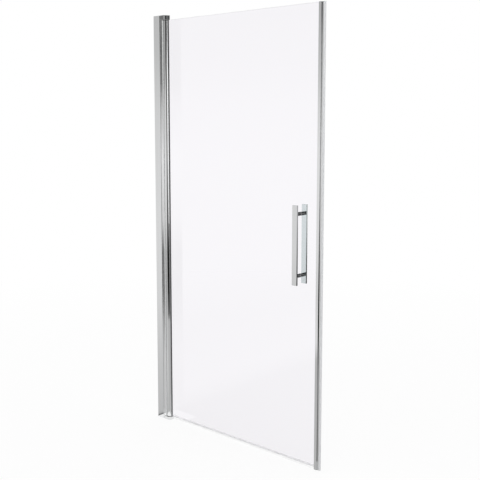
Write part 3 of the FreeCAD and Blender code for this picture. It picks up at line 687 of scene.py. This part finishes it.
def drawn_lines_group():
    """Lines left by the die, across the squeeze of Place: fine noise, and noise an eighth as fine."""
    group, given, result = new_group(
        "drawn_lines", [("Place", "Vector", None), ("Fineness", "Float", 1.0)], ["Line", "Band"])
    fine = node(group, "TexNoise", {"Vector": given["Place"], "Scale": given["Fineness"], "Detail": 4.0,
                                    "Roughness": 0.7})
    broad_scale = math_node(group, "MULTIPLY", given["Fineness"], 0.12)
    broad = node(group, "TexNoise", {"Vector": given["Place"], "Scale": broad_scale, "Detail": 2.0})
    group.links.new(fine.outputs["Fac"], result["Line"])
    group.links.new(broad.outputs["Fac"], result["Band"])
    return group


def handling_group():
    """What hands and water leave: soft smears, and small dried drops as rings round scattered points."""
    group, given, result = new_group(
        "handling", [("Place", "Vector", None), ("Smear Size", "Float", 30.0), ("Drop Size", "Float", 60.0)],
        ["Smear", "Drops"])
    cloud = node(group, "TexNoise", {"Vector": given["Place"], "Scale": given["Smear Size"], "Detail": 5.0,
                                     "Distortion": 0.6})
    smear = node(group, "MapRange", {"Value": cloud.outputs["Fac"], "From Min": 0.48, "From Max": 0.72})
    cells = node(group, "TexVoronoi", {"Vector": given["Place"], "Scale": given["Drop Size"]})
    ring = math_node(group, "SUBTRACT", cells.outputs["Distance"], 0.16)
    ring = math_node(group, "ABSOLUTE", ring, 0.0)
    drops = node(group, "MapRange", {"Value": ring, "From Min": 0.05, "From Max": 0.0})
    group.links.new(smear.outputs[0], result["Smear"])
    group.links.new(drops.outputs[0], result["Drops"])
    return group


def moulded_grain_group():
    """The fine even grain of moulded plastic and soft vinyl, and its slow change of tone."""
    group, given, result = new_group(
        "moulded_grain", [("Place", "Vector", None), ("Grain Size", "Float", 3000.0)], ["Grain", "Tone"])
    grain = node(group, "TexNoise", {"Vector": given["Place"], "Scale": given["Grain Size"], "Detail": 2.0})
    tone = node(group, "TexNoise", {"Vector": given["Place"], "Scale": 25.0, "Detail": 3.0})
    group.links.new(grain.outputs["Fac"], result["Grain"])
    group.links.new(tone.outputs["Fac"], result["Tone"])
    return group


# ---------------------------------------------------------------- finishes: one material each

def new_material(name):
    """A material with its Principled shader and the Object coordinates."""
    material = bpy.data.materials.new(name)
    material.use_nodes = True
    tree = material.node_tree
    place = node(tree, "TexCoord").outputs["Object"]
    return material, tree, tree.nodes["Principled BSDF"], place


def show_mixed(tree, output, share, first, second):
    """The first shader and, by that share, the second, as what the output shows."""
    mixed = node(tree, "MixShader", {0: share, 1: first, 2: second})
    tree.links.new(mixed.outputs[0], output.inputs["Surface"])


def set_constants(shader, **values):
    for label, value in values.items():
        shader.inputs[label.replace("_", " ")].default_value = value


def between(tree, shader, label, low, high, mask):
    """A shader input that goes from low to high with a mask: numbers or colours."""
    if isinstance(low, tuple):
        mixed = node(tree, "Mix", {0: mask, 6: low + (1,), 7: high + (1,)}, data_type="RGBA").outputs[2]
    else:
        mixed = node(tree, "MapRange", {"Value": mask, "To Min": low, "To Max": high}).outputs[0]
    tree.links.new(mixed, shader.inputs[label])


def bumped(tree, shader, height, depth):
    """A relief of that depth in metres."""
    bump = node(tree, "Bump", {"Height": height, "Distance": depth, "Strength": 1.0})
    tree.links.new(bump.outputs[0], shader.inputs["Normal"])


ALONG_Z = (2600.0, 2600.0, 4.0)      # a squeeze that draws noise out into lines along z
EVERY_WAY = (900.0, 900.0, 900.0)
METALS = {                # darker and lighter tone, smooth and rough, depth of the lines, squeeze
    "polished_aluminium": ((0.84, 0.845, 0.85), (0.90, 0.905, 0.91), 0.05, 0.14, 2e-7, ALONG_Z),
    "chrome": ((0.77, 0.775, 0.78), (0.82, 0.825, 0.83), 0.03, 0.10, 2e-7, EVERY_WAY),
    # a lighter, green-tinted copy of chrome for the inner bar: painted light, the tint and brightness it
    # shows through the glass
    "painted_light_chrome": ((0.87, 0.97, 0.94), (0.90, 0.99, 0.96), 0.03, 0.10, 2e-7, EVERY_WAY),
    # a darker copy of chrome for the standoffs: painted shade, their dark reflections
    "painted_shade_chrome": ((0.30, 0.31, 0.31), (0.42, 0.43, 0.43), 0.05, 0.14, 2e-7, EVERY_WAY),
    "steel": ((0.52, 0.52, 0.53), (0.62, 0.62, 0.63), 0.22, 0.42, 4e-6, EVERY_WAY),
}
MOULDED = {               # darker and lighter tone, smooth and rough, depth of the grain
    "grey_plastic": ((0.34, 0.345, 0.35), (0.40, 0.405, 0.41), 0.32, 0.46, 1.2e-5),
    "black_nylon": ((0.028, 0.028, 0.03), (0.045, 0.045, 0.048), 0.38, 0.55, 1.2e-5),
    "white_nylon": ((0.72, 0.72, 0.70), (0.80, 0.80, 0.78), 0.35, 0.5, 8e-6),
    "grey_seal": ((0.16, 0.162, 0.165), (0.22, 0.222, 0.225), 0.42, 0.6, 1e-5),
    "soft_seal": ((0.68, 0.69, 0.70), (0.74, 0.75, 0.76), 0.28, 0.42, 8e-6),
    "wiper_vinyl": ((0.78, 0.79, 0.79), (0.84, 0.85, 0.85), 0.28, 0.42, 8e-6),
    "magnet": ((0.05, 0.045, 0.042), (0.08, 0.073, 0.068), 0.5, 0.7, 2e-5),
}
VINYL = ((0.84, 0.845, 0.85), (0.90, 0.905, 0.91), 0.14, 0.26, 6e-6)
GLASS_TINT = (0.962, 0.949, 0.976, 1)


def drawn_metal(name, darker, lighter, smooth, rough, line_depth, squeeze, groups):
    """Bright metal with die lines along the piece and faint smears: colour, roughness and relief vary."""
    material, tree, shader, place = new_material(name)
    squeezed = node(tree, "Mapping", {"Vector": place, "Scale": squeeze}).outputs[0]
    lines = node(tree, "Group", {"Place": squeezed}, node_tree=groups["lines"]).outputs
    marks = node(tree, "Group", {"Place": place}, node_tree=groups["handling"]).outputs
    set_constants(shader, Metallic=1.0)
    between(tree, shader, "Base Color", darker, lighter, lines["Band"])
    wear = math_node(tree, "MULTIPLY", marks["Smear"], 0.5)
    worn = math_node(tree, "MULTIPLY", lines["Line"], 0.5)
    between(tree, shader, "Roughness", smooth, rough, math_node(tree, "ADD", wear, worn))
    bumped(tree, shader, lines["Line"], line_depth)
    return material


def moulded(name, darker, lighter, smooth, rough, grain_depth, groups, **constants):
    """Plastic, rubber or vinyl: a slow change of tone, and grain in its roughness and relief."""
    material, tree, shader, place = new_material(name)
    grain = node(tree, "Group", {"Place": place}, node_tree=groups["grain"]).outputs
    set_constants(shader, **constants)
    between(tree, shader, "Base Color", darker, lighter, grain["Tone"])
    between(tree, shader, "Roughness", smooth, rough, grain["Grain"])
    bumped(tree, shader, grain["Grain"], grain_depth)
    return material


def clear_glass(groups):
    """A clear pane with the slow waviness of toughened glass and faint smears in its roughness. Rays from
    lamps go straight through, tinted, so that what is behind is lit."""
    material, tree, shader, place = new_material("clear_glass")
    marks = node(tree, "Group", {"Place": place, "Drop Size": 45.0}, node_tree=groups["handling"]).outputs
    set_constants(shader, Base_Color=GLASS_TINT, IOR=1.5, Transmission_Weight=1.0)
    between(tree, shader, "Roughness", 0.0, 0.012, marks["Smear"])
    wave = node(tree, "TexNoise", {"Vector": place, "Scale": 9.0, "Detail": 0.0}).outputs["Fac"]
    bumped(tree, shader, wave, 3e-5)
    straight_through = node(tree, "BsdfTransparent", {"Color": GLASS_TINT}).outputs[0]
    lamp_ray = node(tree, "LightPath").outputs["Is Shadow Ray"]
    show_mixed(tree, tree.nodes["Material Output"], lamp_ray, shader.outputs[0], straight_through)
    return material


def finishes():
    """All materials by name."""
    groups = {"lines": drawn_lines_group(), "handling": handling_group(), "grain": moulded_grain_group()}
    made = {name: drawn_metal(name, *values, groups) for name, values in METALS.items()}
    made.update({name: moulded(name, *values, groups) for name, values in MOULDED.items()})
    made["clear_glass"] = clear_glass(groups)
    made["clear_vinyl"] = moulded("clear_vinyl", *VINYL, groups, Alpha=0.11, IOR=1.2)
    return made


# the standoffs take the darker copy of chrome: painted shade
PAINTED_SHADE_FINISH = {"outer_standoffs": "painted_shade_chrome", "inner_standoffs": "painted_shade_chrome"}


def refinish_nodes(materials):
    """The nodes that stay in view keep their shape and get the full finish of their slot; the standoffs get
    the darker copy of chrome, painted shade.
    """
    for name, cad_node in nodes.items():
        for place in cad_node.material_slots:
            place.material = materials[PAINTED_SHADE_FINISH.get(name, place.material.name.split(".")[0])]


# ---------------------------------------------------------------- stage

WHITE = (1, 1, 1, 1)
PLAIN_LEVEL = 0.75        # the world's light on the object
FLOOR_SHOWN_WHITE = 0.9   # how much of the floor's look is white whatever falls on it
FADE_START, FADE_END = 1.0, 4.0
ROOM_TONES = ((0.0, 0.8), (0.42, 0.8), (0.5, 0.86), (0.62, 0.95), (1.0, 0.95))    # from below to above


def white_world():
    """White where it is seen directly or through glass, a plain level as light, and a soft room in mirrors:
    a little darker towards the floor."""
    world = bpy.data.worlds.new("studio")
    bpy.context.scene.world = world
    world.use_nodes = True
    tree = world.node_tree
    tree.nodes.clear()
    path = node(tree, "LightPath").outputs
    direction = node(tree, "TexCoord").outputs["Generated"]
    height = node(tree, "SeparateXYZ", {0: direction}).outputs["Z"]
    share_of_height = node(tree, "MapRange", {"Value": height, "From Min": -1.0}).outputs[0]
    ramp = node(tree, "ValToRGB", {"Fac": share_of_height})
    set_ramp(ramp, ROOM_TONES)
    seen = node(tree, "Background", {"Color": WHITE, "Strength": 1.0}).outputs[0]
    light = node(tree, "Background", {"Color": WHITE, "Strength": PLAIN_LEVEL}).outputs[0]
    room = node(tree, "Background", {"Color": ramp.outputs["Color"], "Strength": 1.0}).outputs[0]
    off_surface = math_node(tree, "GREATER_THAN", path["Diffuse Depth"], 0.5)
    lit = node(tree, "MixShader", {0: off_surface, 1: room, 2: light}).outputs[0]
    no_mirror = math_node(tree, "LESS_THAN", path["Glossy Depth"], 0.5)
    no_surface = math_node(tree, "LESS_THAN", path["Diffuse Depth"], 0.5)
    direct = math_node(tree, "MULTIPLY", no_mirror, no_surface)
    show_mixed(tree, node(tree, "OutputWorld"), direct, lit, seen)


def set_ramp(ramp, tones):
    """A grey ramp through (position, tone)."""
    points = ramp.color_ramp.elements
    while len(points) < len(tones):
        points.new(1.0)
    for point, (position, tone) in zip(points, tones):
        point.position = position
        point.color = (tone, tone, tone, 1)


def card(name, places, tones):
    """A glowing plane that only mirrors see, a painted reflection. Its tone follows its height: (z, tone),
    rising.
    A ray that no mirror has turned passes through it."""
    mesh = bpy.data.meshes.new(name)
    mesh.from_pydata(places.reshape(-1, 3).tolist(), [],
                     [[i, i + 1, i + 3, i + 2] for i in range(0, 2 * len(places) - 2, 2)])
    made = in_scene(name, mesh)
    made.visible_camera = made.visible_diffuse = made.visible_shadow = made.visible_volume_scatter = False
    material = bpy.data.materials.new(name)
    material.use_nodes = True
    tree = material.node_tree
    tree.nodes.clear()
    height = node(tree, "SeparateXYZ", {0: node(tree, "TexCoord").outputs["Object"]}).outputs["Z"]
    ramp = node(tree, "ValToRGB", {"Fac": math_node(tree, "DIVIDE", height, CARD_TOP)})
    set_ramp(ramp, [(z / CARD_TOP, tone) for z, tone in tones])
    glow = node(tree, "Emission", {"Color": ramp.outputs["Color"], "Strength": 1.0}).outputs[0]
    clear = node(tree, "BsdfTransparent", {"Color": WHITE}).outputs[0]
    mirrored_ray = math_node(tree, "GREATER_THAN", node(tree, "LightPath").outputs["Glossy Depth"], 0.5)
    show_mixed(tree, node(tree, "OutputMaterial"), mirrored_ray, clear, glow)
    made.data.materials.append(material)


def upright_card(name, path, low, top, tones):
    """A card that stands on a path of (x, y) points, from low to top."""
    path = np.array(path, float)
    card(name, np.stack([lift(path, low), lift(path, top)], axis=1), tones)


def floor_card(name, x0, x1, y0, y1):
    """A level card of one tone, just over the floor: a painted reflection of a floor darker than the white
    one.
    """
    height, tone = 0.002, 0.5
    places = np.array([[(x0, y0, height), (x0, y1, height)], [(x1, y0, height), (x1, y1, height)]], float)
    card(name, places, [(0.0, tone)])


def bend(centre, radius, start, end, count=24):
    """Points on an arc about centre, from start to end in degrees."""
    angles = np.radians(np.linspace(start, end, count))
    return np.array(centre) + radius * np.stack([np.cos(angles), np.sin(angles)], axis=1)


CARD_TOP = 2.9
# painted reflections: these tones carry painted dark bands, and at the foot of the near wall card a painted
# dark line where the wall meets the floor
NEAR_WALL_REFLECTION_TONES = (       # the tones of cards are (z, tone), from the floor up
    (0.0, 0.1), (0.006, 0.1), (0.012, 0.55), (0.29, 0.62), (0.58, 0.73), (1.0, 0.76), (1.45, 0.70),
    (1.74, 0.58), (1.91, 0.56), (2.2, 0.40))
WALL_REFLECTION_TONES = (
    (0.0, 0.6), (0.1, 0.78), (0.38, 0.68), (0.66, 0.78), (1.23, 0.81), (1.51, 0.72), (1.74, 0.57),
    (2.05, 0.47))
BESIDE_WALL_REFLECTION_TONES = (
    (0.3, 0.6), (0.5, 0.33), (0.6, 0.19), (0.8, 0.19), (0.95, 0.7), (1.25, 0.88), (1.5, 0.5),
    (1.6, 0.2), (1.75, 0.16), (1.9, 0.2))
BACK_REFLECTION_TONES = (
    (0.0, 0.05), (0.39, 0.02), (0.45, 0.04), (0.575, 0.1), (0.63, 0.18), (0.81, 0.45), (0.9, 0.5),
    (1.2, 0.4), (1.5, 0.3), (1.8, 0.15), (2.1, 0.1))
ROUND_RADIUS = 2.0
# painted reflections for the barrel: dark streaks, and a painted highlight where the tone is 1.0
ROUND_REFLECTION_TONES = {           # a ring of cards that the barrel mirrors, by start and end in degrees
    (-111, -71): (
        (0.0, 0.19), (0.3, 0.07), (0.5, 0.07), (0.79, 0.53), (1.15, 0.62), (1.6, 0.74), (1.81, 0.23)),
    (-71, -32): (
        (0.0, 0.2), (0.2, 0.01), (0.5, 0.01), (0.79, 0.06), (1.15, 0.28), (1.6, 0.1), (1.81, 0.04)),
    (-32, 8): (
        (0.0, 0.02), (0.5, 0.01), (0.79, 0.6), (1.15, 1.0), (1.6, 1.0), (1.81, 1.0), (2.0, 0.18)),
    (8, 30): (
        (0.0, 0.1), (0.35, 0.14), (0.79, 0.46), (1.15, 0.56), (1.6, 0.24), (1.81, 0.12), (2.07, 0.09)),
}


def painted_reflection_cards():
    """Painted reflections for the metal: glowing cards that only mirrors see, standing for the wall that the
    channel is fixed to, the floor, and a ring of dark and light things round the room."""
    wall_x = CHANNEL_X0 - 0.003
    for side, end in ((-1, "_front"), (1, "_back")):
        # from just beside the channel outwards along the wall
        first, second, third, last = [(wall_x, side * reach) for reach in (0.0175, 0.056, 0.16, 1.75)]
        upright_card("near_wall_card" + end, [first, second], 0.0, CARD_TOP, NEAR_WALL_REFLECTION_TONES)
        upright_card("beside_wall_card" + end, [second, third], 0.0, CARD_TOP, BESIDE_WALL_REFLECTION_TONES)
        upright_card("wall_card" + end, [third, last], 0.0, CARD_TOP, WALL_REFLECTION_TONES)
    for number, ((start, end), tones) in enumerate(ROUND_REFLECTION_TONES.items()):
        path = bend((PIVOT_X, 0), ROUND_RADIUS, start, end)
        upright_card("round_card_" + str(number), path, 0.0, 2.6, tones)
    upright_card("back_card", [(-0.48, 1.4), (3.6, 1.4)], 0.0, 2.4, BACK_REFLECTION_TONES)
    hinge_side, far = PIVOT_X + 0.08, 4.0
    # mid-grey cards over the floor: painted reflections of a darker floor in the metal
    floor_card("floor_card_front", hinge_side, far, -far, 0.0)
    floor_card("floor_card_wall_front", wall_x, hinge_side, -far, -0.1)
    floor_card("floor_card_wall_back", wall_x, hinge_side, 0.1, far)
    floor_card("floor_card_back", hinge_side, far, 0.0, far)
    # The closing strip's step is a square corner, so it turns a ray twice and shows what stands before it: a
    # low dark card there, a painted reflection that darkens the step.
    outward, across = np.array([0.586, -0.810]), np.array([0.810, 0.586])
    middle = np.array([CLAMP_X1, -HOLDER_HALF]) + 0.1 * outward
    upright_card("low_card", [middle - 0.04 * across, middle + 0.04 * across], 0.0, 0.42, ((0.0, 0.08),))


def floor():
    """A pale floor that shows white, keeps the object's soft shadow and is plain white further away."""
    half = 9.0
    corners = [(-half, -half, 0), (half, -half, 0), (half, half, 0), (-half, half, 0)]
    mesh = bpy.data.meshes.new("floor")
    mesh.from_pydata(corners, [], [(0, 1, 2, 3)])
    made = in_scene("floor", mesh)
    material, tree, shader, place = new_material("floor")
    set_constants(shader, Base_Color=(0.92, 0.92, 0.92, 1), Roughness=1.0, Specular_IOR_Level=0.0)
    path = node(tree, "LightPath").outputs
    shown = math_node(tree, "MAXIMUM", path["Is Camera Ray"], path["Is Glossy Ray"])
    shown = math_node(tree, "MAXIMUM", shown, path["Is Transmission Ray"])
    away = node(tree, "VectorMath", {0: place}, operation="LENGTH").outputs["Value"]
    fade = node(tree, "MapRange", {"Value": away, "From Min": FADE_START, "From Max": FADE_END,
                                   "To Min": FLOOR_SHOWN_WHITE}).outputs[0]
    share = math_node(tree, "MULTIPLY", shown, fade)
    glow = node(tree, "Emission", {"Color": WHITE, "Strength": 1.0}).outputs[0]
    show_mixed(tree, tree.nodes["Material Output"], share, shader.outputs[0], glow)
    made.data.materials.append(material)


def lamp(name, place, aim, width, height, radiance):
    """A soft rectangular lamp that shines from place towards aim, as bright as radiance all over."""
    data = bpy.data.lights.new(name, "AREA")
    data.shape = "RECTANGLE"
    data.size, data.size_y = width, height
    data.energy = radiance * math.pi * width * height
    made = in_scene(name, data)
    made.visible_camera = made.visible_transmission = False
    made.location = place
    made.rotation_euler = (Vector(aim) - Vector(place)).to_track_quat("-Z", "Y").to_euler()


def lamps():
    lamp("tall_lamp", (2.1, -1.0, 1.5), (-0.2, 0, 1.0), 0.5, 2.2, 1.6)
    lamp("top_lamp", (0.3, -0.8, 3.4), (0, 0, 0), 3.0, 3.0, 0.8)
    lamp("back_lamp", (-1.6, 2.4, 2.0), (0, 0, 0.9), 1.2, 1.6, 0.8)


# ---------------------------------------------------------------- the object put together

def dress():
    """Every new piece, with the body it rides on, its finish and the node it stands for."""
    wall_side, post, leaf = "wall_fixing", "pivot_post", "door_leaf"
    metal, chrome, cap, plug = "polished_aluminium", "chrome", "grey_plastic", "black_nylon"
    seal, vinyl = "grey_seal", "clear_vinyl"
    piece("wall_channel_drawn", wall_channel(), wall_side, metal, metal, "wall_channel")
    piece("post_drawn", post_profile(), post, metal, metal, "post_profile")
    piece("post_bulb_seal", post_seal(), post, seal, seal, "post_seal")
    for side, face in ((-1, "outer"), (1, "inner")):
        strip, wiper = face + "_cover_strip", face + "_wiper_seal"
        piece(strip + "_drawn", cover_strip(strip, side), post, metal, metal, strip)
        piece(wiper + "_soft", wiper_seal(wiper, side), post, seal, "wiper_vinyl", wiper)
    piece("screw_covers", screw_covers(), post, cap, cap, "locking_screw_covers")
    piece("barrel_drawn", barrel_profile(), leaf, metal, metal, "barrel_profile")
    for side, name in ((-1, "glazing_gasket_front"), (1, "glazing_gasket_back")):
        piece(name + "_strip", glazing_gasket(name, side), leaf, seal, seal, name)
    for up, name in ((True, "barrel_top_plug"), (False, "barrel_bottom_plug")):
        piece(name + "_moulded", barrel_plug(name, up), leaf, plug, plug, name)
    piece("glass_pane", glass_panel(), leaf, "clear_glass", "clear_glass", "glass_panel")
    piece("closing_edge_gasket", closing_gasket(), leaf, vinyl, vinyl, "closing_gasket")
    piece("closing_drawn", closing_profile(), leaf, metal, metal, "closing_profile")
    for around_glass, name in ((True, "closing_top_cap"), (False, "closing_bottom_cap")):
        piece(name + "_moulded", closing_cap(name, around_glass), leaf, cap, cap, name)
    piece("magnetic_strip_seal", magnetic_seal(), leaf, seal, "soft_seal", "magnetic_seal")
    piece("glass_drip_seal", drip_seal(), leaf, vinyl, vinyl, "drip_seal")
    # the inner bar takes the lighter, green-tinted copy of chrome: painted light
    for side, name, finish in ((-1, "outer_handle_bar", chrome), (1, "inner_handle_bar", "painted_light_chrome")):
        piece(name + "_polished", handle_bar(name, side), leaf, chrome, finish, name)


def photo_camera():
    """The camera at the photograph's viewing angle."""
    data = bpy.data.cameras.new("photo_camera")
    data.lens, data.sensor_width, data.shift_y = 59.695, 36, -0.06
    made = in_scene("photo_camera", data)
    turned_left, looking_down = math.radians(41.93), math.radians(6.55)
    made.location = (2.306, -2.5236, 1.4289)
    made.rotation_euler = (math.pi / 2 - looking_down, 0, turned_left)
    bpy.context.scene.camera = made


bpy.context.scene.view_settings.view_transform = "Standard"
FINISH = finishes()
refinish_nodes(FINISH)
dress()
white_world()
floor()
painted_reflection_cards()
lamps()
photo_camera()
